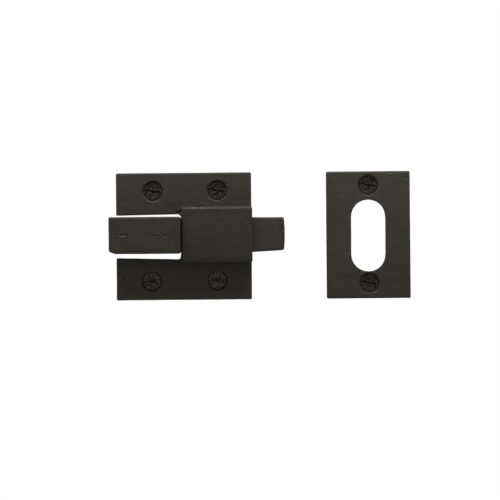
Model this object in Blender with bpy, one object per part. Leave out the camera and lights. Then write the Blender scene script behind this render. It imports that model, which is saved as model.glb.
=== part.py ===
"""Toggle bolt latch: a flat iron bolt that slides through a cast housing into a strike plate.

The frame is the door's: +X is the way the bolt is thrown, +Z is up and -Y faces out of the door.
Both plates lie on the door's face, the plane Y = 0, and the origin is the centre of the latch
plate's outline on that plane. A height is a distance off the door, so height h lies at Y = -h.
All sizes are in metres.
"""

import math

import bmesh
import bpy
from mathutils import Matrix, Vector

# Latch plate
PLATE_WIDTH = 0.0580
PLATE_HEIGHT = 0.0545
PLATE_THICK = 0.0040
PLATE_EDGE = 0.0005

# Raised box over the bolt, cast in one with the plate
BOX_X = (-0.0010, 0.02935)
BOX_HEIGHT = 0.0234
BOX_Z = 0.0006
BOX_FOOT = 0.0004
BOX_FRONT = 0.0127
BOX_EDGE = 0.00055

# Open slot that the grip runs in, between the plate's two arms
SLOT_END_X = -0.00154
SLOT_MOUTH_Z = (-0.0090, 0.0090)
SLOT_END_Z = (-0.0097, 0.0094)
SLOT_CORNER = 0.0009

# Bolt bar
BOLT_Z = 0.0005
BAR_X = (-0.0310, 0.0432)
BAR_WIDTH = 0.0150
BAR_BACK = 0.0016
BAR_FRONT = 0.0095
BAR_EDGE = 0.0006
NOSE_TAPER_X = 0.0300
NOSE_Z = (-0.0063, 0.0079)
NOSE_BULGE = 0.0004
NOSE_STEPS = 6
TRAVEL = 0.0142

# Clearances: beside and over the bar, and between fixed pieces that touch
SLIDE_GAP = 0.0003
FIT_GAP = 0.00006

# Toggle grip
GRIP_X = (-0.03195, -0.0013)
GRIP_WIDTH = 0.0159
GRIP_FRONT = 0.0152
GRIP_EDGE = 0.0006
GRIP_CHAMFER = (0.0030, 0.0011)
GRIP_RIVET_X = (-0.0266, -0.0103)
GRIP_RIVET_RADIUS = 0.0016
GRIP_RIVET_HEAD = 0.0023
GRIP_RIVET_CONE = 0.0008
GRIP_RIVET_FOOT = 0.0045

# Back plate, let into the back of the casting
BACK_THICK = 0.0012
BACK_X = (-0.0013, 0.0286)
BACK_LEDGE = 0.0028
BACK_RIVET_X = (0.0035, 0.0250)
BACK_RIVET_RADIUS = 0.0009
BACK_RIVET_HEAD = 0.0016
BACK_RIVET_CONE = 0.0007
BACK_RIVET_TOP = 0.0055

# Travel stop pin, in the bar's back
STOP_X = 0.0230
STOP_Z = BOLT_Z - 0.0038
STOP_RADIUS = 0.0012
STOP_HEIGHTS = (0.0003, 0.0050)
STOP_SLOT_WIDTH = 0.0027

# Detent spring, in a groove of the bar's back
SPRING_X = (-0.0002, 0.0135)
SPRING_Z = BOLT_Z + 0.0034
SPRING_WIDTH = 0.0036
SPRING_THICK = 0.0003
SPRING_FLAT_X = 0.0034
SPRING_TIP = 0.0027
BUMP_X = 0.0122
BUMP_HEIGHT = 0.00275
BUMP_RADIUS = 0.00088
BUMP_HALF_ANGLE = math.radians(70)
BUMP_STEPS = 8
SPRING_RIVET_X = 0.0016
SPRING_RIVET_RADIUS = 0.0007
SPRING_RIVET_HEAD = 0.0013
SPRING_RIVET_CONE = 0.0005
SPRING_RIVET_CAP = 0.0005
GROOVE_X = (-0.0015, 0.0280)
GROOVE_WIDTH = 0.0044
GROOVE_DEPTH = 0.0018
NOTCH_RADIUS = 0.00125

# Strike plate
STRIKE_X = 0.0789
STRIKE_WIDTH = 0.0360
STRIKE_HEIGHT = 0.0545
STRIKE_THICK = 0.0035
STRIKE_SLOT_WIDTH = 0.01455
STRIKE_SLOT_HEIGHT = 0.0306
STRIKE_SLOT_Z = -0.0003
STRIKE_SLOT_STEPS = 12

# Countersunk slotted wood screws
SCREW_LENGTH = 0.0190
SCREW_POINT = 0.0045
SCREW_RADIUS = 0.00205
SCREW_HEAD = 0.0039
SCREW_LIP = 0.0001
SCREW_SLOT_WIDTH = 0.0012
SCREW_SLOT_DEPTH = 0.0012
SCREW_SLOT_TILT = math.radians(11)
SINK_RADIUS = 0.00445
SINK_SLOPE = math.tan(math.radians(41))
SINK_SET = 0.00035
SINK_GAP = 0.00007
HOLE_RADIUS = 0.0024
LATCH_SCREWS = ((-0.0131, 0.0194), (0.0144, 0.0195), (-0.0139, -0.0191), (0.0142, -0.0189))
STRIKE_SCREWS = ((STRIKE_X + 0.0001, 0.0212), (STRIKE_X + 0.0004, -0.0205))

# Facets round a full turn, and how far a cutter runs past the face that it opens
ROUND = 24
SMALL_ROUND = 16
PAST = 0.0020

# Colour, roughness and metallic value of each finish
CAST_IRON = ((0.040, 0.034, 0.028, 1.0), 0.55, 0.6)
FORGED_IRON = ((0.044, 0.037, 0.031, 1.0), 0.50, 0.6)
BLACK_SCREW = ((0.030, 0.026, 0.022, 1.0), 0.45, 0.7)
BARE_STEEL = ((0.42, 0.40, 0.38, 1.0), 0.40, 1.0)
SPRING_STEEL = ((0.30, 0.32, 0.36, 1.0), 0.30, 1.0)


def clear_scene():
    for thing in list(bpy.data.objects):
        bpy.data.objects.remove(thing)


def at(x, height, z):
    """The point at x and z, at a height off the door."""
    return Vector((x, -height, z))


def band(centre, width):
    """The two limits of a band of this width about its centre."""
    return (centre - width / 2, centre + width / 2)


# Shapes


def block(x, heights, z):
    """A solid box between two x values, two heights and two z values."""
    low = at(x[0], heights[1], z[0])
    high = at(x[1], heights[0], z[1])
    shape = bmesh.new()
    bmesh.ops.create_cube(shape, size=1.0)
    bmesh.ops.scale(shape, vec=high - low, verts=shape.verts)
    bmesh.ops.translate(shape, vec=(low + high) / 2, verts=shape.verts)
    return shape


def prism(outline, push):
    """The solid swept by a flat outline that is pushed along a vector."""
    shape = bmesh.new()
    face = shape.faces.new([shape.verts.new(point) for point in outline])
    made = bmesh.ops.extrude_face_region(shape, geom=[face])
    moving = [item for item in made["geom"] if isinstance(item, bmesh.types.BMVert)]
    bmesh.ops.translate(shape, vec=push, verts=moving)
    bmesh.ops.recalc_face_normals(shape, faces=shape.faces)
    return shape


def upright_prism(outline, heights):
    """A prism over an outline of (x, z) points, between two heights."""
    low, high = heights
    return prism([at(x, low, z) for x, z in outline], at(0.0, high - low, 0.0))


def cross_prism(outline, z):
    """A prism along Z over an outline of (x, height) points, between two z values."""
    low, high = z
    return prism([at(x, height, low) for x, height in outline], at(0.0, 0.0, high - low))


def turned(profile, steps):
    """A solid of revolution about the Y axis, from (radius, height) points, axis to axis."""
    shape = bmesh.new()
    points = [shape.verts.new(at(radius, height, 0.0)) for radius, height in profile]
    edges = [shape.edges.new(pair) for pair in zip(points, points[1:])]
    bmesh.ops.spin(
        shape,
        geom=points + edges,
        cent=(0.0, 0.0, 0.0),
        axis=(0.0, 1.0, 0.0),
        angle=math.tau,
        steps=steps,
        use_merge=True,
    )
    bmesh.ops.remove_doubles(shape, verts=shape.verts, dist=1e-7)
    bmesh.ops.recalc_face_normals(shape, faces=shape.faces)
    return shape


def moved(shape, x, z):
    """The same shape, moved along the door's face."""
    bmesh.ops.translate(shape, vec=at(x, 0.0, z), verts=shape.verts)
    return shape


def round_edges(shape, width, segments, wanted):
    """Round each edge whose middle and direction pass the test."""
    chosen = []
    for edge in shape.edges:
        first, second = (vert.co for vert in edge.verts)
        if wanted((first + second) / 2, second - first):
            chosen.append(edge)
    bmesh.ops.bevel(
        shape,
        geom=chosen,
        offset=width,
        offset_type="OFFSET",
        segments=segments,
        profile=0.5,
        affect="EDGES",
        material=-1,
    )


def above(height):
    """A test for edges whose middle is above this height."""
    return lambda middle, direction: -middle.y > height


def arc(centre, radius, start, end, steps):
    """Points along an arc, both ends included."""
    angles = [start + (end - start) * step / steps for step in range(steps + 1)]
    return [
        (centre[0] + radius * math.cos(angle), centre[1] + radius * math.sin(angle))
        for angle in angles
    ]


# Holes and rivets


def plain_hole(radius, heights):
    """The cutter of a round hole between two heights, with a fit gap round what it holds."""
    wide = radius + FIT_GAP
    profile = ((0.0, heights[1]), (wide, heights[1]), (wide, heights[0]), (0.0, heights[0]))
    return turned(profile, SMALL_ROUND)


def rivet_hole(radius, head, cone, face, far):
    """The cutter of a countersunk rivet's hole, from the face that it is flush with."""
    inward = 1 if far > face else -1
    wide = head + FIT_GAP
    narrow = radius + FIT_GAP
    outside = face - inward * PAST
    profile = (
        (0.0, outside),
        (wide, outside),
        (wide, face),
        (narrow, face + inward * cone),
        (narrow, far),
        (0.0, far),
    )
    return turned(profile, SMALL_ROUND)


def rivet(radius, head, cone, face, far):
    """A countersunk rivet, flush with a face."""
    inward = 1 if far > face else -1
    neck = face + inward * cone
    profile = ((0.0, face), (head, face), (radius, neck), (radius, far), (0.0, far))
    return turned(profile, SMALL_ROUND)


def screw_hole(face):
    """The cutter of a countersunk screw hole through a plate whose front is at this height."""
    wide = SINK_RADIUS + PAST * SINK_SLOPE
    narrow_from = face - (SINK_RADIUS - HOLE_RADIUS) / SINK_SLOPE
    profile = (
        (0.0, face + PAST),
        (wide, face + PAST),
        (HOLE_RADIUS, narrow_from),
        (HOLE_RADIUS, -PAST),
        (0.0, -PAST),
    )
    return turned(profile, ROUND)


def back_rivet_places():
    """The (x, z) places of the back plate's four rivets, in the box's two walls."""
    offset = BAR_WIDTH / 2 + SLIDE_GAP + BACK_LEDGE / 2
    return [(x, BOLT_Z + side * offset) for side in (1, -1) for x in BACK_RIVET_X]


# Objects


def add_object(name, mesh, joint=None):
    """Put a mesh in the scene, on a joint's empty if it moves."""
    thing = bpy.data.objects.new(name, mesh)
    bpy.context.collection.objects.link(thing)
    if joint:
        mesh.transform(Matrix.Translation(-joint.location))
        thing.parent = joint
    return thing


def make_mesh(name, shape):
    """A mesh from the shape, smooth except over its sharp edges."""
    mesh = bpy.data.meshes.new(name)
    shape.to_mesh(mesh)
    shape.free()
    mesh.shade_smooth()
    mesh.set_sharp_from_angle(angle=math.radians(35))
    return mesh


def combine(target, name, shape, operation):
    """Join the shape to the target, or cut it away."""
    tool = add_object(f"{target.name}_{name}", make_mesh(name, shape))
    tool.hide_render = True
    tool.display_type = "WIRE"
    change = target.modifiers.new(name, "BOOLEAN")
    change.operation = operation
    change.solver = "EXACT"
    change.object = tool
    return tool


def cut(target, name, shape):
    return combine(target, name, shape, "DIFFERENCE")


def finish(thing, look):
    """Give the object a material of its own."""
    colour, roughness, metallic = look
    material = bpy.data.materials.new(thing.name)
    material.use_nodes = True
    shader = material.node_tree.nodes["Principled BSDF"]
    shader.inputs["Base Color"].default_value = colour
    shader.inputs["Roughness"].default_value = roughness
    shader.inputs["Metallic"].default_value = metallic
    thing.data.materials.append(material)


def make_piece(name, shape, look, joint=None):
    thing = add_object(name, make_mesh(name, shape), joint)
    finish(thing, look)
    return thing


def make_slide_joint():
    """The empty that carries the moving pieces, on the bar's centre line."""
    joint = bpy.data.objects.new("bolt_slide", None)
    joint.location = at(0.0, (BAR_BACK + BAR_FRONT) / 2, BOLT_Z)
    joint.empty_display_size = BAR_WIDTH
    bpy.context.collection.objects.link(joint)
    return joint


# Housing


def make_plate(x, width, height, thick):
    """A flat plate on the door, its front edges and corners slightly rounded."""
    shape = block(band(x, width), (0.0, thick), band(0.0, height))
    round_edges(shape, PLATE_EDGE, 2, above(thick / 4))
    return shape


def make_housing():
    """The latch plate and its box: one casting, open at the back for the bolt."""
    plate = make_plate(0.0, PLATE_WIDTH, PLATE_HEIGHT, PLATE_THICK)
    housing = make_piece("housing", plate, CAST_IRON)
    box = block(BOX_X, (BOX_FOOT, BOX_FRONT), band(BOX_Z, BOX_HEIGHT))
    round_edges(box, BOX_EDGE, 3, above(PLATE_THICK))
    combine(housing, "box", box, "UNION")
    cut(housing, "grip_slot", make_grip_slot())
    right = BOX_X[1] + PAST
    channel_z = band(BOLT_Z, BAR_WIDTH + 2 * SLIDE_GAP)
    channel = block((SLOT_END_X - PAST, right), (-PAST, BAR_FRONT + SLIDE_GAP), channel_z)
    cut(housing, "channel", channel)
    recess_z = band(BOLT_Z, back_plate_width() + 2 * FIT_GAP)
    recess = block((SLOT_END_X, right), (-PAST, BACK_THICK + FIT_GAP), recess_z)
    cut(housing, "back_recess", recess)
    for number, (x, z) in enumerate(LATCH_SCREWS, 1):
        cut(housing, f"screw_hole_{number}", moved(screw_hole(PLATE_THICK), x, z))
    for number, (x, z) in enumerate(back_rivet_places(), 1):
        hole = plain_hole(BACK_RIVET_RADIUS, (0.0, BACK_RIVET_TOP + FIT_GAP))
        cut(housing, f"rivet_hole_{number}", moved(hole, x, z))


def make_grip_slot():
    """The cutter of the open slot, a little wider at its closed end, with round corners there."""
    mouth_x = -PLATE_WIDTH / 2
    flare = PAST / (SLOT_END_X - mouth_x)
    low = SLOT_MOUTH_Z[0] - flare * (SLOT_END_Z[0] - SLOT_MOUTH_Z[0])
    high = SLOT_MOUTH_Z[1] - flare * (SLOT_END_Z[1] - SLOT_MOUTH_Z[1])
    outline = (
        (mouth_x - PAST, low),
        (SLOT_END_X, SLOT_END_Z[0]),
        (SLOT_END_X, SLOT_END_Z[1]),
        (mouth_x - PAST, high),
    )
    slot = upright_prism(outline, (-PAST, PLATE_THICK + PAST))

    def is_end_corner(middle, direction):
        return middle.x > SLOT_END_X - SLOT_CORNER and abs(direction.y) > PLATE_THICK

    round_edges(slot, SLOT_CORNER, 4, is_end_corner)
    return slot


def back_plate_width():
    return BAR_WIDTH + 2 * (SLIDE_GAP + BACK_LEDGE)


def make_back_plate():
    """The thin plate that closes the bolt's channel, with the travel stop's slot."""
    shape = block(BACK_X, (0.0, BACK_THICK), band(BOLT_Z, back_plate_width()))
    plate = make_piece("back_plate", shape, BARE_STEEL)
    rear_x, thrown_x = STOP_X - TRAVEL, STOP_X
    radius = STOP_SLOT_WIDTH / 2
    quarter = math.pi / 2
    outline = arc((thrown_x, STOP_Z), radius, -quarter, quarter, SMALL_ROUND // 2)
    outline += arc((rear_x, STOP_Z), radius, quarter, 3 * quarter, SMALL_ROUND // 2)
    cut(plate, "stop_slot", upright_prism(outline, (-PAST, BACK_THICK + PAST)))
    for number, (x, z) in enumerate(back_rivet_places(), 1):
        hole = rivet_hole(
            BACK_RIVET_RADIUS, BACK_RIVET_HEAD, BACK_RIVET_CONE, FIT_GAP, BACK_THICK + PAST
        )
        cut(plate, f"rivet_hole_{number}", moved(hole, x, z))
    hole = rivet_hole(
        SPRING_RIVET_RADIUS, SPRING_RIVET_HEAD, SPRING_RIVET_CONE, FIT_GAP, BACK_THICK + PAST
    )
    cut(plate, "spring_rivet_hole", moved(hole, SPRING_RIVET_X, SPRING_Z))


def make_back_plate_rivets():
    for number, (x, z) in enumerate(back_rivet_places(), 1):
        shape = rivet(
            BACK_RIVET_RADIUS, BACK_RIVET_HEAD, BACK_RIVET_CONE, FIT_GAP, BACK_RIVET_TOP
        )
        make_piece(f"back_plate_rivet_{number}", moved(shape, x, z), BARE_STEEL)


# Detent spring


def make_detent_spring():
    """A leaf spring on the back plate, whose bump rests in a notch of the bar."""
    flat = BACK_THICK + FIT_GAP + SPRING_THICK / 2
    top = math.pi / 2
    bump = arc(
        (BUMP_X, BUMP_HEIGHT),
        BUMP_RADIUS,
        top + BUMP_HALF_ANGLE,
        top - BUMP_HALF_ANGLE,
        BUMP_STEPS,
    )
    line = [(SPRING_X[0], flat), (SPRING_FLAT_X, flat)] + bump + [(SPRING_X[1], SPRING_TIP)]
    outline = thicken(line, SPRING_THICK)
    shape = cross_prism(outline, band(SPRING_Z, SPRING_WIDTH))
    spring = make_piece("detent_spring", shape, SPRING_STEEL)
    hole = plain_hole(SPRING_RIVET_RADIUS, (0.0, flat + PAST))
    cut(spring, "rivet_hole", moved(hole, SPRING_RIVET_X, SPRING_Z))


def thicken(line, thickness):
    """The outline of a strip of this thickness along a line."""
    points = [Vector(point) for point in line]
    upper, lower = [], []
    for number, point in enumerate(points):
        before = points[max(number - 1, 0)]
        after = points[min(number + 1, len(points) - 1)]
        along = (after - before).normalized()
        offset = Vector((-along.y, along.x)) * thickness / 2
        upper.append(point + offset)
        lower.append(point - offset)
    return upper + lower[::-1]


def make_spring_rivet():
    """The rivet that holds the spring, flush at the back and capped over the spring."""
    cap_foot = BACK_THICK + SPRING_THICK + 2 * FIT_GAP
    cap_top = cap_foot + SPRING_RIVET_CAP
    profile = (
        (0.0, FIT_GAP),
        (SPRING_RIVET_HEAD, FIT_GAP),
        (SPRING_RIVET_RADIUS, FIT_GAP + SPRING_RIVET_CONE),
        (SPRING_RIVET_RADIUS, cap_foot),
        (SPRING_RIVET_HEAD, cap_foot),
        (SPRING_RIVET_HEAD, cap_top),
        (0.0, cap_top),
    )
    shape = turned(profile, SMALL_ROUND)
    make_piece("spring_rivet", moved(shape, SPRING_RIVET_X, SPRING_Z), BARE_STEEL)


# Bolt


def make_bolt_bar(joint):
    """The sliding bar: a tapered, slightly bulging nose, and a grooved and notched back."""
    shape = upright_prism(bar_outline(), (BAR_BACK, BAR_FRONT))

    def is_outer_edge(middle, direction):
        lies_flat = abs(direction.y) < FIT_GAP
        at_side = not NOSE_Z[0] + FIT_GAP < middle.z < NOSE_Z[1] - FIT_GAP
        return lies_flat or (at_side and middle.x > NOSE_TAPER_X + FIT_GAP)

    round_edges(shape, BAR_EDGE, 2, is_outer_edge)
    bar = make_piece("bolt_bar", shape, FORGED_IRON, joint)
    ceiling = BAR_BACK + GROOVE_DEPTH
    groove_z = band(SPRING_Z, GROOVE_WIDTH)
    cut(bar, "spring_groove", block(GROOVE_X, (BAR_BACK - PAST, ceiling), groove_z))
    for number, x in enumerate((BUMP_X, BUMP_X + TRAVEL), 1):
        circle = arc((x, BUMP_HEIGHT), NOTCH_RADIUS, 0.0, math.tau, SMALL_ROUND)[:-1]
        cut(bar, f"notch_{number}", cross_prism(circle, groove_z))
    stop_hole = plain_hole(STOP_RADIUS, (BAR_BACK - PAST, STOP_HEIGHTS[1] + FIT_GAP))
    cut(bar, "stop_hole", moved(stop_hole, STOP_X, STOP_Z))
    for number, x in enumerate(GRIP_RIVET_X, 1):
        hole = plain_hole(GRIP_RIVET_RADIUS, (GRIP_RIVET_FOOT - FIT_GAP, BAR_FRONT + PAST))
        cut(bar, f"rivet_hole_{number}", moved(hole, x, BOLT_Z))


def bar_outline():
    """The bar's outline from the front, with the nose's end as a shallow curve."""
    low, high = band(BOLT_Z, BAR_WIDTH)
    outline = [(BAR_X[0], high), (BAR_X[0], low), (NOSE_TAPER_X, low)]
    for step in range(NOSE_STEPS + 1):
        across = 2 * step / NOSE_STEPS - 1
        x = BAR_X[1] - NOSE_BULGE * across * across
        outline.append((x, (NOSE_Z[0] + NOSE_Z[1] + across * (NOSE_Z[1] - NOSE_Z[0])) / 2))
    outline.append((NOSE_TAPER_X, high))
    return outline


def make_toggle_grip(joint):
    """The proud block at the bar's outer end that the thumb pushes."""
    low, high = band(BOLT_Z, GRIP_WIDTH)
    left, right = GRIP_X
    outline = (
        (left + GRIP_CHAMFER[0], low),
        (right, low),
        (right, high),
        (left, high),
        (left, low + GRIP_CHAMFER[1]),
    )
    foot = BAR_FRONT + FIT_GAP
    shape = upright_prism(outline, (foot, GRIP_FRONT))
    round_edges(shape, GRIP_EDGE, 2, above(foot + FIT_GAP))
    grip = make_piece("toggle_grip", shape, FORGED_IRON, joint)
    for number, x in enumerate(GRIP_RIVET_X, 1):
        hole = rivet_hole(
            GRIP_RIVET_RADIUS, GRIP_RIVET_HEAD, GRIP_RIVET_CONE, GRIP_FRONT, foot - PAST
        )
        cut(grip, f"rivet_hole_{number}", moved(hole, x, BOLT_Z))


def make_grip_rivets(joint):
    for number, x in enumerate(GRIP_RIVET_X, 1):
        shape = rivet(
            GRIP_RIVET_RADIUS, GRIP_RIVET_HEAD, GRIP_RIVET_CONE, GRIP_FRONT, GRIP_RIVET_FOOT
        )
        make_piece(f"grip_rivet_{number}", moved(shape, x, BOLT_Z), FORGED_IRON, joint)


def make_travel_stop_pin(joint):
    low, high = STOP_HEIGHTS
    profile = ((0.0, high), (STOP_RADIUS, high), (STOP_RADIUS, low), (0.0, low))
    shape = turned(profile, SMALL_ROUND)
    make_piece("travel_stop_pin", moved(shape, STOP_X, STOP_Z), BARE_STEEL, joint)


# Strike plate


def make_strike_plate():
    """The keep that the bolt's nose enters, through an upright slot with round ends."""
    shape = make_plate(STRIKE_X, STRIKE_WIDTH, STRIKE_HEIGHT, STRIKE_THICK)
    strike = make_piece("strike_plate", shape, CAST_IRON)
    radius = STRIKE_SLOT_WIDTH / 2
    reach = STRIKE_SLOT_HEIGHT / 2 - radius
    high, low = STRIKE_SLOT_Z + reach, STRIKE_SLOT_Z - reach
    outline = arc((STRIKE_X, high), radius, 0.0, math.pi, STRIKE_SLOT_STEPS)
    outline += arc((STRIKE_X, low), radius, math.pi, math.tau, STRIKE_SLOT_STEPS)
    cut(strike, "bolt_slot", upright_prism(outline, (-PAST, STRIKE_THICK + PAST)))
    for number, (x, z) in enumerate(STRIKE_SCREWS, 1):
        cut(strike, f"screw_hole_{number}", moved(screw_hole(STRIKE_THICK), x, z))


# Screws


def make_screw_mesh():
    """A countersunk slotted wood screw, its head's top at the origin."""
    head_cone = SINK_RADIUS - SINK_GAP - SINK_SLOPE * SINK_SET
    lip = head_cone - SINK_SLOPE * SCREW_LIP
    neck = (head_cone - SCREW_RADIUS) / SINK_SLOPE
    profile = (
        (0.0, 0.0),
        (SCREW_HEAD, 0.0),
        (lip, -SCREW_LIP),
        (SCREW_RADIUS, -neck),
        (SCREW_RADIUS, SCREW_POINT - SCREW_LENGTH),
        (0.0, -SCREW_LENGTH),
    )
    blank = make_piece("screw_blank", turned(profile, ROUND), BLACK_SCREW)
    drive = block(
        band(0.0, 3 * SCREW_HEAD), (-SCREW_SLOT_DEPTH, PAST), band(0.0, SCREW_SLOT_WIDTH)
    )
    bmesh.ops.transform(
        drive, matrix=Matrix.Rotation(SCREW_SLOT_TILT, 4, "Y"), verts=drive.verts
    )
    tool = cut(blank, "drive", drive)
    made = blank.evaluated_get(bpy.context.evaluated_depsgraph_get())
    mesh = bpy.data.meshes.new_from_object(made)
    mesh.name = "screw"
    bpy.data.objects.remove(tool)
    bpy.data.objects.remove(blank)
    return mesh


def place_screws(prefix, mesh, places, face):
    """Set a screw in each hole of a plate whose front is at this height."""
    for number, (x, z) in enumerate(places, 1):
        screw = add_object(f"{prefix}_{number}", mesh)
        screw.location = at(x, face - SINK_SET, z)


def main():
    clear_scene()
    make_housing()
    make_back_plate()
    make_back_plate_rivets()
    make_detent_spring()
    make_spring_rivet()
    joint = make_slide_joint()
    make_bolt_bar(joint)
    make_toggle_grip(joint)
    make_grip_rivets(joint)
    make_travel_stop_pin(joint)
    make_strike_plate()
    screw_mesh = make_screw_mesh()
    place_screws("housing_screw", screw_mesh, LATCH_SCREWS, PLATE_THICK)
    place_screws("strike_screw", screw_mesh, STRIKE_SCREWS, STRIKE_THICK)


main()
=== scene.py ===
"""Looks of a toggle bolt latch and its strike plate, in waxed black cast iron.

Each iron piece is a dressed copy of its plain solid: remeshed finely, eased along its edges and
given the shallow unevenness of a hand-finished casting. The screws are turned, slotted and
threaded here, and the rivets' heads are dressed flush. Lengths are in metres, and -Y faces the
user.
"""

import math

import bmesh
import bpy
from mathutils import Matrix, Vector, noise


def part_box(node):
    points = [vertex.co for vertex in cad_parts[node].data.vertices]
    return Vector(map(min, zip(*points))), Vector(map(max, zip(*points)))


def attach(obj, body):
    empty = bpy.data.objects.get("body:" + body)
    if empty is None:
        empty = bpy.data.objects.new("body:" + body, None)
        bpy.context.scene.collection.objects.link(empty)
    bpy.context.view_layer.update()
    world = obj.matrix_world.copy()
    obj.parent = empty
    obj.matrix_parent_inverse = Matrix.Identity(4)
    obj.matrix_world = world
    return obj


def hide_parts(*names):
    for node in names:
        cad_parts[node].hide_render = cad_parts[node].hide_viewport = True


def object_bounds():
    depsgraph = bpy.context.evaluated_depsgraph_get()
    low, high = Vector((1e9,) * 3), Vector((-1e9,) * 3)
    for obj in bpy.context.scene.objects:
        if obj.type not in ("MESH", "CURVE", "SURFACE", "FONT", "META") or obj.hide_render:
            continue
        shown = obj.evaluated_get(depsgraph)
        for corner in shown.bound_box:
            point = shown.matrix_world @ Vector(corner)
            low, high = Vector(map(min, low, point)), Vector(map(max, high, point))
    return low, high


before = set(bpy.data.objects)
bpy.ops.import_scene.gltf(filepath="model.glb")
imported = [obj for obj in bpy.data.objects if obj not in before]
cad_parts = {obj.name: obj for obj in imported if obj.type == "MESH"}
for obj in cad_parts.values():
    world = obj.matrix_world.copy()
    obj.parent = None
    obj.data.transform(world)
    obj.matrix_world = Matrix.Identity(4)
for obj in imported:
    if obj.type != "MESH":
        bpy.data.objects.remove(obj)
cad_low, cad_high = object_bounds()

# Remeshing steps, fine enough for each piece's smallest edge
CASTING_STEP = 0.00033
PLATE_STEP = 0.00032
BAR_STEP = 0.00030
GRIP_STEP = 0.00019
SCREW_STEP = 0.00014

# Slow waves of a dressed casting: (length, depth) of each layer
CAST_WAVES = ((0.0110, 0.00007), (0.0035, 0.00003))
FORGED_WAVES = ((0.0070, 0.00008), (0.0022, 0.00003))
SCREW_WAVES = ((0.0013, 0.00022), (0.0006, 0.00010))
GRIP_SEED = 13.0

# Nicks along edges: full up to the first flatness, the normal's largest part, and none past the
# second
EDGE_NICK_LENGTH = 0.0022
EDGE_NICK_DEPTH = 0.00016
EDGE_FLATNESS = (0.86, 0.985)

# The highest Y that a face's normal may have for the face to take a gouge or to slope back
GOUGE_FACING = -0.5
SLOPE_FACING = -0.3

# The box over the bolt, and the (x, z, length, tilt) of raised casting beads above its top edge
BOX_LEFT_X = -0.0010
BOX_TOP_Z = 0.0123
BOX_HEIGHT = 0.0234
BEAD_WIDTH = 0.0009
BEAD_RISE = 0.00018
BOX_TOP_BEADS = (
    (0.0050, 0.0133, 0.0024, 0.7),
    (0.0072, 0.0137, 0.0022, 0.9),
    (0.0095, 0.0132, 0.0026, -0.2),
    (0.0118, 0.0136, 0.0020, 0.5),
    (0.0160, 0.0139, 0.0030, 0.1),
)

# How far the box's and the grip's fronts slope back low down: (reach, depth)
BOX_FALL = (0.0017, 0.00045)
GRIP_FALL = (0.0016, 0.00030)

# Painted highlight spots on the box's top edge: (x, z)
HIGHLIGHT_SPOTS = ((0.0041, 0.0121), (0.0055, 0.0122), (0.0075, 0.0122), (0.0093, 0.0122))
HIGHLIGHT_RADIUS = 0.0002
HIGHLIGHT_FADE = 0.0004
HIGHLIGHT_IRON = (0.20, 0.19, 0.175, 1.0)

SCREW_NODES = [f"housing_screw_{n}" for n in (1, 2, 3, 4)] + ["strike_screw_1", "strike_screw_2"]

# Number 8 wood screw: its shank and core are shares of the head's and the shank's radius
SHANK_SHARE = 0.51
CORE_SHARE = 0.74
HEAD_CONE = math.radians(41)
HEAD_RIM = 0.0001
POINT_SHARE = 0.80
THREAD_SHARE = 0.62
THREAD_PITCH = 0.0017
THREAD_HEIGHT = 0.00042
THREAD_ROOT = 0.85
THREAD_HALF = 0.3
THREAD_RUNOUT = 0.0006
THREAD_STEPS = 20
POINT_LEAST = 0.25
DRIVE_WIDTH = 0.0015
DRIVE_DEPTH = 0.0008
DRIVE_TAPER = 0.45
DRIVE_REACH = 3.2
DRIVE_END_TAPER = 0.12
DRIVE_TILT = math.radians(11)

# The dish and the bruises of a screw's head: (x, z, length, width, depth, tilt)
SCREW_BRUISES = (
    (0.0, 0.0003, 0.0080, 0.0080, 0.00030, 0.0),
    (0.0033, 0.0010, 0.0024, 0.0009, 0.00035, -1.05),
    (-0.0034, -0.0001, 0.0018, 0.0010, 0.00035, 1.3),
    (-0.0019, 0.0008, 0.0014, 0.0010, 0.00035, 1.1),
    (0.0012, 0.0006, 0.0017, 0.0009, 0.00030, -0.3),
    (0.0020, -0.0007, 0.0019, 0.0010, 0.00040, 0.0),
)

# Countersink round each screw, darkened with wax and painted shade
RECESS_RADIUS = 0.00425
RECESS_FADE = 0.0002

# Rivets: the head's crown, its fall at the rim, and its radius and rings as shares
PEEN_RISE = 0.00001
PEEN_RIM = 0.00002
PEEN_SPREAD = 1.09
PEEN_RINGS = 12
PEEN_RIM_RINGS = (0.985, 0.995, 1.0)
PEEN_SHANK = 0.6
PEEN_CONE = 0.5

# The camera's view: its width at the plates, its centre (x, z), and the camera's distance and roll
VIEW_WIDTH = 0.2139
VIEW_CENTRE = (0.02822, -0.00608)
CAMERA_DISTANCE = 1.8
CAMERA_ROLL = math.radians(0.5)
SENSOR_WIDTH = 36.0

# Studio: the floor, the even light, and each softbox's name, place, size and power
FLOOR_Z = -0.30
FLOOR_RADIUS = 0.45
FLOOR_TONES = (0.62, 0.62, 0.61, 1.0), (0.68, 0.68, 0.67, 1.0)
AIR_TINT = (1.0, 0.97, 0.92, 1.0)
AIR_STRENGTH = 0.245
SOFTBOXES = (
    ("top_softbox", (0.01, -0.105, 0.20), (0.34, 0.06), 0.52),
    ("right_softbox", (0.85, -0.06, 0.25), (0.25, 0.50), 1.3),
    ("left_softbox", (-0.85, -0.06, 0.25), (0.25, 0.50), 1.3),
    ("back_softbox", (-0.30, 0.80, 0.45), (0.60, 0.40), 6.0),
)


# Shapes


def solid_copy(node):
    """A merged copy of a node's solid."""
    shape = bmesh.new()
    shape.from_mesh(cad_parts[node].data)
    bmesh.ops.remove_doubles(shape, verts=shape.verts, dist=1e-6)
    return shape


def add_object(name, shape):
    """A smooth mesh object from the shape."""
    mesh = bpy.data.meshes.new(name)
    shape.to_mesh(mesh)
    shape.free()
    mesh.shade_smooth()
    thing = bpy.data.objects.new(name, mesh)
    bpy.context.scene.collection.objects.link(thing)
    return thing


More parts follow.
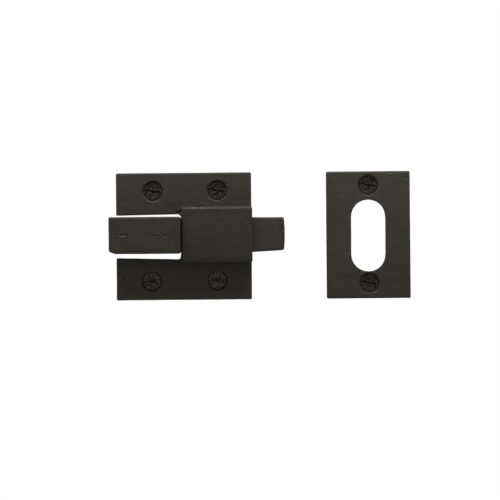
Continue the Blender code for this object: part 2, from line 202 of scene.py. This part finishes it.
def modified(shape, kind, **settings):
    """The shape after one modifier."""
    blank = add_object("blank", shape)
    modifier = blank.modifiers.new("shaping", kind)
    for name, value in settings.items():
        setattr(modifier, name, value)
    graph = bpy.context.evaluated_depsgraph_get()
    mesh = bpy.data.meshes.new_from_object(blank.evaluated_get(graph))
    result = bmesh.new()
    result.from_mesh(mesh)
    bpy.data.meshes.remove(mesh)
    bpy.data.meshes.remove(blank.data)
    return result


def remeshed(shape, step):
    """The shape with its surface cut into even squares, and its edges slightly eased."""
    fine = modified(shape, "REMESH", mode="VOXEL", voxel_size=step)
    bmesh.ops.smooth_vert(
        fine, verts=fine.verts, factor=0.5, use_axis_x=True, use_axis_y=True, use_axis_z=True
    )
    bmesh.ops.recalc_face_normals(fine, faces=fine.faces)
    return fine


def turned(profile, steps):
    """A solid of revolution about the Y axis, from (radius, y) points, axis to axis."""
    shape = bmesh.new()
    points = [shape.verts.new((radius, y, 0.0)) for radius, y in profile]
    edges = [shape.edges.new(pair) for pair in zip(points, points[1:])]
    bmesh.ops.spin(
        shape,
        geom=points + edges,
        cent=(0.0, 0.0, 0.0),
        axis=(0.0, 1.0, 0.0),
        angle=math.tau,
        steps=steps,
        use_merge=True,
    )
    bmesh.ops.remove_doubles(shape, verts=shape.verts, dist=1e-7)
    bmesh.ops.recalc_face_normals(shape, faces=shape.faces)
    return shape


def smooth_step(low, high, value):
    share = min(max((value - low) / (high - low), 0.0), 1.0)
    return share * share * (3 - 2 * share)


# Dressing


def gouge(x, z, length, width, depth, tilt=0.0):
    """A shallow oval hollow in a front face, its length turned up from +X by the tilt."""
    turn = Matrix.Rotation(-tilt, 2)

    def sink(point, normal):
        along, across = turn @ Vector((point.x - x, point.z - z))
        reach = (2 * along / length) ** 2 + (2 * across / width) ** 2
        if reach >= 1 or normal.y > GOUGE_FACING:
            return 0.0
        return depth * (1 - reach) ** 2

    return sink


def fall_away(low, high, reach, depth):
    """Let a front face between these corners slope back near its lower edge."""

    def sink(point, normal):
        outside = not (low.x < point.x < high.x and low.z < point.z < high.z)
        if outside or normal.y > SLOPE_FACING or point.y > low.y + 2 * depth:
            return 0.0
        return depth * max(1 - (point.z - low.z) / reach, 0.0)

    return sink


def dress(shape, waves, gouges=(), nicks=EDGE_NICK_DEPTH, seed=0.0, until=1.0):
    """Sink the surface, up to this Y, in slow waves, nicks along its edges and chosen gouges."""
    shape.normal_update()
    start = Vector((seed, 2.3 * seed, -1.7 * seed))
    moves = []
    for vert in shape.verts:
        normal = vert.normal
        depth = 0.0
        if vert.co.y > until:
            moves.append(normal * depth)
            continue
        for length, height in waves:
            depth += height * (0.5 + 0.5 * noise.noise(vert.co / length + start))
        flatness = max(abs(part) for part in normal)
        edge = 1 - smooth_step(*EDGE_FLATNESS, flatness)
        if edge > 0:
            nick = noise.noise(vert.co / EDGE_NICK_LENGTH - start)
            depth += nicks * edge * max(nick, 0.0)
        for sink in gouges:
            depth += sink(vert.co, normal)
        moves.append(normal * depth)
    for vert, move in zip(shape.verts, moves):
        vert.co -= move
    return shape


# Pieces


def finish_piece(piece, body, slot, material, *nodes):
    """Give the piece its material, its body and the nodes that it stands for."""
    piece.data.materials.clear()
    piece.data.materials.append(material)
    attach(piece, body)
    if nodes:
        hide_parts(*nodes)


def make_latch_casting(material):
    low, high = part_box("housing")
    arm_x = low.x + 0.0022
    gouges = [
        gouge(arm_x - 0.0012, low.z + 0.0112, 0.0052, 0.0022, 0.00055, 1.4),
        gouge(arm_x + 0.0002, low.z + 0.0120, 0.0034, 0.0013, 0.00045, 1.1),
        gouge(arm_x + 0.0010, low.z + 0.0098, 0.0026, 0.0014, 0.00040, -0.5),
        gouge(-0.0022, 0.0102, 0.0030, 0.0011, 0.00050, 0.5),
        gouge(-0.0012, 0.0108, 0.0020, 0.0009, 0.00040, -0.6),
        gouge(-0.0034, 0.0106, 0.0020, 0.0008, 0.00030, -0.2),
    ]
    for x, z, length, tilt in BOX_TOP_BEADS:
        gouges.append(gouge(x, z, length, BEAD_WIDTH, -BEAD_RISE, tilt))
    box_high = Vector((high.x, 0.0, BOX_TOP_Z))
    box_low = Vector((BOX_LEFT_X, low.y, BOX_TOP_Z - BOX_HEIGHT))
    gouges.append(fall_away(box_low, box_high, *BOX_FALL))
    shape = dress(remeshed(solid_copy("housing"), CASTING_STEP), CAST_WAVES, gouges, seed=1.0)
    piece = add_object("latch_casting", shape)
    finish_piece(piece, "root", "cast_iron", material, "housing")


def make_strike_casting(material):
    low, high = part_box("strike_plate")
    gouges = [
        gouge(high.x - 0.0012, high.z - 0.0135, 0.0018, 0.0012, 0.00022, 0.5),
        gouge(high.x - 0.0052, high.z - 0.0228, 0.0026, 0.0008, 0.00016, -0.05),
        gouge(low.x + 0.0085, low.z + 0.0060, 0.0018, 0.0010, 0.00020, 0.2),
        gouge(low.x + 0.0038, high.z - 0.0016, 0.0014, 0.0012, 0.00018),
        gouge(high.x - 0.0016, high.z - 0.0030, 0.0020, 0.0018, 0.00030, 0.8),
        gouge(high.x - 0.0007, high.z - 0.0062, 0.0030, 0.0014, 0.00035, 1.4),
        gouge(high.x - 0.0006, high.z - 0.0098, 0.0024, 0.0012, 0.00030, 1.7),
        gouge(high.x - 0.0080, high.z - 0.0007, 0.0080, 0.0013, 0.00025, 0.02),
    ]
    shape = dress(remeshed(solid_copy("strike_plate"), PLATE_STEP), CAST_WAVES, gouges, seed=5.0)
    piece = add_object("strike_casting", shape)
    finish_piece(piece, "root", "cast_iron", material, "strike_plate")


def make_bolt_blade(material):
    shape = dress(remeshed(solid_copy("bolt_bar"), BAR_STEP), FORGED_WAVES, seed=9.0)
    piece = add_object("bolt_blade", shape)
    finish_piece(piece, "bolt", "forged_iron", material, "bolt_bar")


def grip_marks():
    """Short tool marks across the grip's two rivets."""
    low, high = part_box("toggle_grip")
    middle_z = (low.z + high.z) / 2
    return [
        gouge(low.x + 0.0037, middle_z + 0.0004, 0.0056, 0.0009, 0.00014, 0.10),
        gouge(low.x + 0.0064, middle_z + 0.0001, 0.0046, 0.0013, 0.00034, 0.14),
        gouge(low.x + 0.0197, middle_z - 0.0003, 0.0026, 0.0011, 0.00030, -0.05),
        gouge(low.x + 0.0225, middle_z + 0.0008, 0.0012, 0.0012, 0.00022),
        gouge(low.x + 0.0242, middle_z - 0.0002, 0.0022, 0.0014, 0.00034, -0.1),
    ]


def make_thumb_grip(material):
    low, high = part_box("toggle_grip")
    gouges = grip_marks() + [fall_away(low, high, *GRIP_FALL)]
    shape = remeshed(solid_copy("toggle_grip"), GRIP_STEP)
    dress(shape, FORGED_WAVES, gouges, seed=GRIP_SEED)
    piece = add_object("thumb_grip", shape)
    finish_piece(piece, "bolt", "forged_iron", material, "toggle_grip")


def make_closing_plate(material):
    shape = dress(remeshed(solid_copy("back_plate"), PLATE_STEP), CAST_WAVES[1:], seed=17.0)
    piece = add_object("closing_plate", shape)
    finish_piece(piece, "root", "bare_steel", material, "back_plate")


def make_peened_rivet(name, node, body, slot, material, front):
    """A rivet whose head is dressed flush, a little past its hole's edge, front or back."""
    low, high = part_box(node)
    radius = (high.x - low.x) / 2
    inward = 1 if front else -1
    face, foot = (low.y, high.y) if front else (high.y, low.y)
    head = radius * PEEN_SPREAD
    profile = [(0.0, face - inward * PEEN_RISE)]
    rings = [ring / PEEN_RINGS for ring in range(1, PEEN_RINGS)]
    for share in (*rings, *PEEN_RIM_RINGS):
        rise = PEEN_RISE * (1 - share**2) - PEEN_RIM * share**6
        profile.append((head * share, face - inward * rise))
    shank = radius * PEEN_SHANK
    profile += [(shank, face + inward * radius * PEEN_CONE), (shank, foot), (0.0, foot)]
    shape = turned(profile, 48)
    centre = (low + high) / 2
    bmesh.ops.translate(shape, vec=(centre.x, 0.0, centre.z), verts=shape.verts)
    if front:
        dress(shape, FORGED_WAVES, grip_marks(), nicks=0.0, seed=GRIP_SEED)
    piece = add_object(name, shape)
    finish_piece(piece, body, slot, material, node)


def make_rivets(iron, steel):
    for number in (1, 2):
        name, node = f"grip_peen_{number}", f"grip_rivet_{number}"
        make_peened_rivet(name, node, "bolt", "forged_iron", iron, front=True)
    for number in (1, 2, 3, 4):
        name, node = f"closing_plate_peen_{number}", f"back_plate_rivet_{number}"
        make_peened_rivet(name, node, "root", "bare_steel", steel, front=False)


# Screws


def make_screw_shape(length, head_radius):
    """A slotted countersunk wood screw with its head's top at the origin and its point at +Y."""
    shank = head_radius * SHANK_SHARE
    neck = (head_radius - shank) / math.tan(HEAD_CONE)
    core = shank * CORE_SHARE
    thread_start = length * (1 - THREAD_SHARE)
    point_start = length * POINT_SHARE
    profile = (
        (0.0, 0.0),
        (head_radius * 0.97, 0.0),
        (head_radius, HEAD_RIM),
        (shank, neck),
        (shank, thread_start),
        (core, thread_start + THREAD_RUNOUT),
        (core, point_start),
        (0.0, length),
    )
    body = turned(profile, 32)
    drive = bmesh.new()
    bmesh.ops.create_cube(drive, size=1.0)
    bmesh.ops.scale(
        drive, vec=(DRIVE_REACH * head_radius, 2 * DRIVE_DEPTH, DRIVE_WIDTH), verts=drive.verts
    )
    for vert in drive.verts:
        if vert.co.y > 0:
            vert.co.z *= DRIVE_TAPER
            vert.co.x *= DRIVE_END_TAPER
    turn = Matrix.Rotation(DRIVE_TILT, 4, "Y")
    bmesh.ops.transform(drive, matrix=turn, verts=drive.verts)
    cutter = add_object("drive_cutter", drive)
    slotted = modified(body, "BOOLEAN", operation="DIFFERENCE", object=cutter)
    bpy.data.meshes.remove(cutter.data)
    add_thread(slotted, core, thread_start, point_start, length)
    return slotted


def add_thread(shape, core, start, point_start, length):
    """Wind a ridge round the screw's core, running out along its point."""
    turns = (length - start) / THREAD_PITCH - 0.6
    steps = int(turns * THREAD_STEPS)
    root = core * THREAD_ROOT
    corners = ((root, -THREAD_HALF), (core + THREAD_HEIGHT, 0.0), (root, THREAD_HALF))
    ring = [shape.verts.new((radius, start + rise * THREAD_PITCH, 0.0)) for radius, rise in corners]
    loop = [shape.edges.new((ring[i], ring[i - 1])) for i in range(3)]
    made = bmesh.ops.spin(
        shape,
        geom=ring + loop,
        cent=(0.0, 0.0, 0.0),
        axis=(0.0, 1.0, 0.0),
        dvec=(0.0, THREAD_PITCH / THREAD_STEPS, 0.0),
        angle=math.tau * steps / THREAD_STEPS,
        steps=steps,
    )
    last = [item for item in made["geom_last"] if isinstance(item, bmesh.types.BMVert)]
    shape.faces.new(ring)
    shape.faces.new(last)
    shape.verts.ensure_lookup_table()
    for vert in shape.verts:
        if vert.co.y <= point_start:
            continue
        narrow = max((length - vert.co.y) / (length - point_start), 0.0)
        if math.hypot(vert.co.x, vert.co.z) > core * narrow:
            vert.co.x *= POINT_LEAST + (1 - POINT_LEAST) * narrow
            vert.co.z *= POINT_LEAST + (1 - POINT_LEAST) * narrow
    bmesh.ops.recalc_face_normals(shape, faces=shape.faces)


def screw_places():
    """The (x, z) places of the six screws."""
    places = []
    for node in SCREW_NODES:
        low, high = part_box(node)
        places.append(((low.x + high.x) / 2, (low.z + high.z) / 2))
    return places


def make_screws(material):
    low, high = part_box("housing_screw_1")
    length = high.y - low.y
    head_radius = (high.x - low.x) / 2
    shape = remeshed(make_screw_shape(length, head_radius), SCREW_STEP)
    bruises = [gouge(*bruise) for bruise in SCREW_BRUISES]
    dress(shape, SCREW_WAVES, bruises, nicks=0.0, seed=21.0, until=DRIVE_DEPTH)
    pattern = add_object("screw_pattern", shape)
    for node, (x, z) in zip(SCREW_NODES, screw_places()):
        screw = bpy.data.objects.new(f"slotted_{node}", pattern.data.copy())
        bpy.context.scene.collection.objects.link(screw)
        place = Vector((x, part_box(node)[0].y, z))
        screw.data.transform(Matrix.Translation(place))
        finish_piece(screw, "root", "black_screw", material, node)
    bpy.data.objects.remove(pattern)


# Finishes

# Curvature, 0.5 on a flat face, from which an edge, a hollow or a screw's rubbed peak shows
EDGE_CURVE = 0.505
HOLLOW_CURVE = 0.495
CURVE_GAIN = 14.0
PEAK_CURVE = 0.51
PEAK_GAIN = 10.0

# Dark and light tones of each finish, and (roughness, grain) of the waxed irons
CAST_TONES = (0.019, 0.0152, 0.0112, 1.0), (0.058, 0.0475, 0.036, 1.0)
CAST_SHEEN = (0.42, 0.35)
FORGED_TONES = (0.020, 0.0162, 0.0122, 1.0), (0.060, 0.0495, 0.038, 1.0)
FORGED_SHEEN = (0.38, 0.25)
SCREW_TONES = (0.010, 0.0085, 0.0068, 1.0), (0.245, 0.214, 0.171, 1.0)
MILL_TONES = (0.045, 0.044, 0.044, 1.0), (0.21, 0.20, 0.19, 1.0)
SPRING_TONES = (0.05, 0.07, 0.13, 1.0), (0.14, 0.15, 0.19, 1.0)

# Where a finish starts and is full, along one axis; the box, rim, strike, low arm and low screw
# spans place painted light and shade
PLATE_FRONT_Y = (-0.0004, -0.0010)
BOX_FRONT_Y = (-0.0100, -0.0115)
BOX_RIM_Y = (-0.0117, -0.0121)
SCREW_HEAD_Y = (-0.0010, -0.0020)
STRIKE_GAP_X = (0.0500, 0.0550)
LOW_ARM_Z = (-0.0130, -0.0150)
LOW_SCREW_Z = (-0.0100, -0.0150)


class Wire:
    """A node's output, on which arithmetic adds Math nodes."""

    def __init__(self, recipe, socket):
        self.recipe = recipe
        self.socket = socket

    def math(self, operation, first, second, clamp=False):
        settings = {"operation": operation, "use_clamp": clamp}
        return self.recipe.node("ShaderNodeMath", settings, {0: first, 1: second})

    def __add__(self, other):
        return self.math("ADD", self, other)

    def __sub__(self, other):
        return self.math("SUBTRACT", self, other)

    def __rsub__(self, other):
        return self.math("SUBTRACT", other, self)

    def __mul__(self, other):
        return self.math("MULTIPLY", self, other)

    def clamped(self):
        return self.math("ADD", self, 0.0, clamp=True)

    __radd__ = __add__
    __rmul__ = __mul__


class Recipe:
    """A material that is built from nodes."""

    def __init__(self, name):
        self.material = bpy.data.materials.new(name)
        self.material.use_nodes = True
        self.tree = self.material.node_tree
        self.shader = self.tree.nodes["Principled BSDF"]
        self.place = self.node("ShaderNodeTexCoord", out="Object")

    def join(self, socket, value):
        if isinstance(value, Wire):
            self.tree.links.new(value.socket, socket)
        else:
            socket.default_value = value

    def node(self, kind, settings=None, sockets=None, out=0):
        """Add a node with these settings, socket values and links, and return one output."""
        made = self.tree.nodes.new(kind)
        for name, value in (settings or {}).items():
            setattr(made, name, value)
        for name, value in (sockets or {}).items():
            self.join(made.inputs[name], value)
        return Wire(self, made.outputs[out])

    def clouds(self, size, detail=3.0, roughness=0.55, stretch=None):
        """Noise between 0 and 1 whose patches are about this size, or longer along an axis."""
        place = self.place
        if stretch:
            ends = {0: place, 1: stretch}
            place = self.node("ShaderNodeVectorMath", {"operation": "MULTIPLY"}, ends)
        sockets = {
            "Vector": place,
            "Scale": 1 / size,
            "Detail": detail,
            "Roughness": roughness,
        }
        return self.node("ShaderNodeTexNoise", None, sockets)

    def part(self, axis):
        """The place along one axis, X, Y or Z."""
        settings = {"Vector": self.place}
        return self.node("ShaderNodeSeparateXYZ", None, settings, out=axis)

    def rise(self, value, start, end):
        """0 up to the start and 1 from the end on."""
        return ((value - start) * (1 / (end - start))).clamped()

    def near(self, x, z, radius, fade):
        """1 within this distance of the line along Y through (x, z), fading to 0 past it."""
        axis = {"Vector": self.place, 1: (1.0, 0.0, 1.0)}
        flat = self.node("ShaderNodeVectorMath", {"operation": "MULTIPLY"}, axis)
        ends = {0: flat, 1: (x, 0.0, z)}
        gap = self.node("ShaderNodeVectorMath", {"operation": "DISTANCE"}, ends, out="Value")
        return ((radius + fade - gap) * (1 / fade)).clamped()

    def mix(self, share, first, second):
        """A blend of two colours, which the node takes at sockets 6 and 7."""
        sockets = {"Factor": share, 6: first, 7: second}
        return self.node("ShaderNodeMix", {"data_type": "RGBA"}, sockets, out=2)

    def bump(self, height, distance):
        return self.node("ShaderNodeBump", None, {"Height": height, "Distance": distance})

    def shade(self, **sockets):
        """Set or link the shader's sockets, named in words joined by underscores."""
        for name, value in sockets.items():
            self.join(self.shader.inputs[name.replace("_", " ")], value)
        return self.material


def black_iron(name, dark, light, sheen, grain, painted_shading=None, recesses=(), wear_and_highlight=()):
    """Waxed black iron: mottled, with painted shade on sharp edges and in hollows, wax and painted
    shade in screw recesses, any painted light and shade passed in, and painted highlight spots.
    """
    recipe = Recipe(name)
    drift = recipe.clouds(0.012, 2.0)
    mottle = recipe.clouds(0.0021, 4.0, 0.62)
    sand = recipe.clouds(0.00045, 2.0)
    curve = recipe.node("ShaderNodeNewGeometry", out="Pointiness")
    edge = ((curve - EDGE_CURVE) * CURVE_GAIN).clamped()
    hollow = ((HOLLOW_CURVE - curve) * CURVE_GAIN).clamped()
    filed = recipe.clouds(0.0013, 3.0, 0.6, stretch=(0.22, 1.0, 1.0))
    depth = recipe.part("Y")
    front = recipe.rise(depth, *PLATE_FRONT_Y)
    recess_shade_and_wax = hollow
    for x, z in recesses:
        recess_shade_and_wax = recess_shade_and_wax + front * recipe.near(x, z, RECESS_RADIUS, RECESS_FADE)
    # Painted shade: sharp edges, hollows and screw recesses darken the tone (the recesses partly as
    # wax), plus any painted light and shade passed in
    painted_shading_and_wax = 0.4 * edge + recess_shade_and_wax.clamped()
    if painted_shading:
        painted_shading_and_wax = painted_shading_and_wax + painted_shading(recipe)
    tone = (0.5 * drift + 0.6 * mottle + 0.5 * filed - 0.3 - painted_shading_and_wax).clamped()
    colour = recipe.mix(tone, dark, light)
    proud = recipe.rise(depth, *BOX_RIM_Y)
    # Painted highlight: pale spots on the box's top rim, in place of a glint
    for x, z in wear_and_highlight:
        highlight = proud * recipe.near(x, z, HIGHLIGHT_RADIUS, HIGHLIGHT_FADE) * (0.3 + 0.5 * mottle)
        colour = recipe.mix(highlight, colour, HIGHLIGHT_IRON)
    return recipe.shade(
        Base_Color=colour,
        Roughness=sheen + 0.22 * mottle - 0.22 * edge + 0.35 * recess_shade_and_wax,
        Metallic=0.0,
        Normal=recipe.bump(0.5 * mottle + 0.4 * filed + grain * sand, 0.00013),
    )


def painted_box_strike_light(recipe):
    """Painted light and shade: the latch's box darker low down and by the grip, the low arm paler
    towards the left, and the strike paler towards its top.
    """
    across, height = recipe.part("X"), recipe.part("Z")
    proud = recipe.rise(recipe.part("Y"), *BOX_FRONT_Y)
    low = recipe.rise(height, BOX_TOP_Z, BOX_TOP_Z - 0.8 * BOX_HEIGHT)
    left = recipe.rise(across, BOX_LEFT_X + 0.0040, BOX_LEFT_X)
    strike = recipe.rise(across, *STRIKE_GAP_X)
    strike_low = recipe.rise(height, 0.015, -0.020)
    arm = recipe.rise(height, *LOW_ARM_Z) * (1 - strike)
    arm_left = recipe.rise(across, 0.0050, -0.0250)
    # Painted shade on the box's front; the negative terms are painted light on the strike and the
    # low arm
    box_painted_shade = proud * (0.11 + 0.15 * low + 0.14 * left)
    return box_painted_shade + strike * (0.18 * strike_low - 0.18) - arm * (0.06 + 0.14 * arm_left)


def screw_black():
    """Blackened steel, patchy where the hammered head has rubbed through, with painted light on the
    low latch screws, which sit in shade.
    """
    recipe = Recipe("blackened_screw_steel")
    mottle = recipe.clouds(0.0007, 4.0, 0.7)
    sand = recipe.clouds(0.0003, 2.0)
    curve = recipe.node("ShaderNodeNewGeometry", out="Pointiness")
    wear_and_highlight = ((curve - PEAK_CURVE) * PEAK_GAIN).clamped()
    head = recipe.rise(recipe.part("Y"), *SCREW_HEAD_Y)
    low = recipe.rise(recipe.part("Z"), *LOW_SCREW_Z)
    latch = 1 - recipe.rise(recipe.part("X"), *STRIKE_GAP_X)
    # Painted light: the latch's low screws are lightened and given more contrast where they sit in
    # shade
    painted_lift_in_shade = low * latch
    patches = (mottle - 0.5) * (0.5 + 0.9 * head + 1.3 * painted_lift_in_shade)
    tone = 0.17 + patches + 0.3 * wear_and_highlight * head + 0.22 * painted_lift_in_shade
    return recipe.shade(
        Base_Color=recipe.mix(tone.clamped(), *SCREW_TONES),
        Roughness=0.32 + 0.25 * mottle - 0.08 * wear_and_highlight,
        Metallic=0.9,
        Normal=recipe.bump((0.2 + 0.6 * head) * mottle + 0.3 * sand, 0.00022),
    )


def mill_steel():
    """Rolled steel under oil and mill scale, for the pieces at the back."""
    recipe = Recipe("mill_scale_steel")
    drift = recipe.clouds(0.006, 3.0)
    specks = recipe.clouds(0.0008, 4.0, 0.65)
    tone = (0.6 * drift + 0.5 * specks).clamped()
    return recipe.shade(
        Base_Color=recipe.mix(tone, *MILL_TONES),
        Roughness=0.38 + 0.25 * specks,
        Metallic=0.85,
        Normal=recipe.bump(specks, 0.00005),
    )


def tempered_steel():
    """Blue-grey spring steel."""
    recipe = Recipe("tempered_spring_steel")
    drift = recipe.clouds(0.004, 2.0)
    return recipe.shade(
        Base_Color=recipe.mix(drift, *SPRING_TONES),
        Roughness=0.28 + 0.1 * drift,
        Metallic=0.95,
    )


def finish_kept_nodes(steel, spring):
    """The small inner pieces keep their plain solids, in real finishes."""
    for node, material in (
        ("detent_spring", spring),
        ("spring_rivet", steel),
        ("travel_stop_pin", steel),
    ):
        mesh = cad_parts[node].data
        mesh.materials.clear()
        mesh.materials.append(material)


# Studio


def make_floor():
    shape = bmesh.new()
    bmesh.ops.create_circle(shape, cap_ends=True, segments=96, radius=FLOOR_RADIUS)
    centre = (cad_low + cad_high) / 2
    bmesh.ops.translate(shape, vec=(centre.x, centre.y, FLOOR_Z), verts=shape.verts)
    floor = add_object("studio_floor", shape)
    recipe = Recipe("pale_floor")
    speckle = recipe.clouds(0.02, 2.0)
    pale = recipe.mix(speckle, *FLOOR_TONES)
    floor.data.materials.append(recipe.shade(Base_Color=pale, Roughness=0.7))


def add_softbox(name, place, aim, size, power):
    light = bpy.data.lights.new(name, "AREA")
    light.shape = "RECTANGLE"
    light.size, light.size_y = size
    light.energy = power
    lamp = bpy.data.objects.new(name, light)
    bpy.context.scene.collection.objects.link(lamp)
    lamp.location = place
    lamp.rotation_mode = "QUATERNION"
    lamp.rotation_quaternion = (Vector(aim) - Vector(place)).to_track_quat("-Z", "Y")


def light_studio():
    centre = (cad_low + cad_high) / 2
    for name, place, size, power in SOFTBOXES:
        add_softbox(name, place, centre, size, power)


def make_world():
    """White to the eye, and a dim even light to everything else."""
    world = bpy.data.worlds.new("studio_air")
    world.use_nodes = True
    nodes, links = world.node_tree.nodes, world.node_tree.links
    nodes.clear()
    path = nodes.new("ShaderNodeLightPath")
    seen = nodes.new("ShaderNodeBackground")
    felt = nodes.new("ShaderNodeBackground")
    mix = nodes.new("ShaderNodeMixShader")
    end = nodes.new("ShaderNodeOutputWorld")
    seen.inputs["Color"].default_value = (1.0, 1.0, 1.0, 1.0)
    felt.inputs["Color"].default_value = AIR_TINT
    felt.inputs["Strength"].default_value = AIR_STRENGTH
    links.new(path.outputs["Is Camera Ray"], mix.inputs["Fac"])
    links.new(felt.outputs["Background"], mix.inputs[1])
    links.new(seen.outputs["Background"], mix.inputs[2])
    links.new(mix.outputs["Shader"], end.inputs["Surface"])
    scene = bpy.context.scene
    scene.world = world
    scene.view_settings.view_transform = "Standard"


def place_camera():
    """A long lens that looks straight at the plates."""
    lens = bpy.data.cameras.new("front_camera")
    lens.sensor_width = SENSOR_WIDTH
    lens.lens = SENSOR_WIDTH * CAMERA_DISTANCE / VIEW_WIDTH
    lens.clip_start = 0.1
    lens.clip_end = 10.0
    camera = bpy.data.objects.new("front_camera", lens)
    bpy.context.scene.collection.objects.link(camera)
    x, z = VIEW_CENTRE
    face_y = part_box("housing_screw_1")[0].y
    camera.location = (x, face_y - CAMERA_DISTANCE, z)
    upright = Matrix.Rotation(math.radians(90), 4, "X")
    camera.rotation_euler = (upright @ Matrix.Rotation(-CAMERA_ROLL, 4, "Z")).to_euler()
    bpy.context.scene.camera = camera


def main():
    iron = black_iron(
        "waxed_cast_iron", *CAST_TONES, *CAST_SHEEN, painted_box_strike_light, screw_places(), HIGHLIGHT_SPOTS
    )
    forged = black_iron("waxed_forged_iron", *FORGED_TONES, *FORGED_SHEEN)
    steel = mill_steel()
    make_latch_casting(iron)
    make_strike_casting(iron)
    make_bolt_blade(forged)
    make_thumb_grip(forged)
    make_closing_plate(steel)
    make_rivets(forged, steel)
    make_screws(screw_black())
    finish_kept_nodes(steel, tempered_steel())
    make_floor()
    light_studio()
    make_world()
    place_camera()


main()
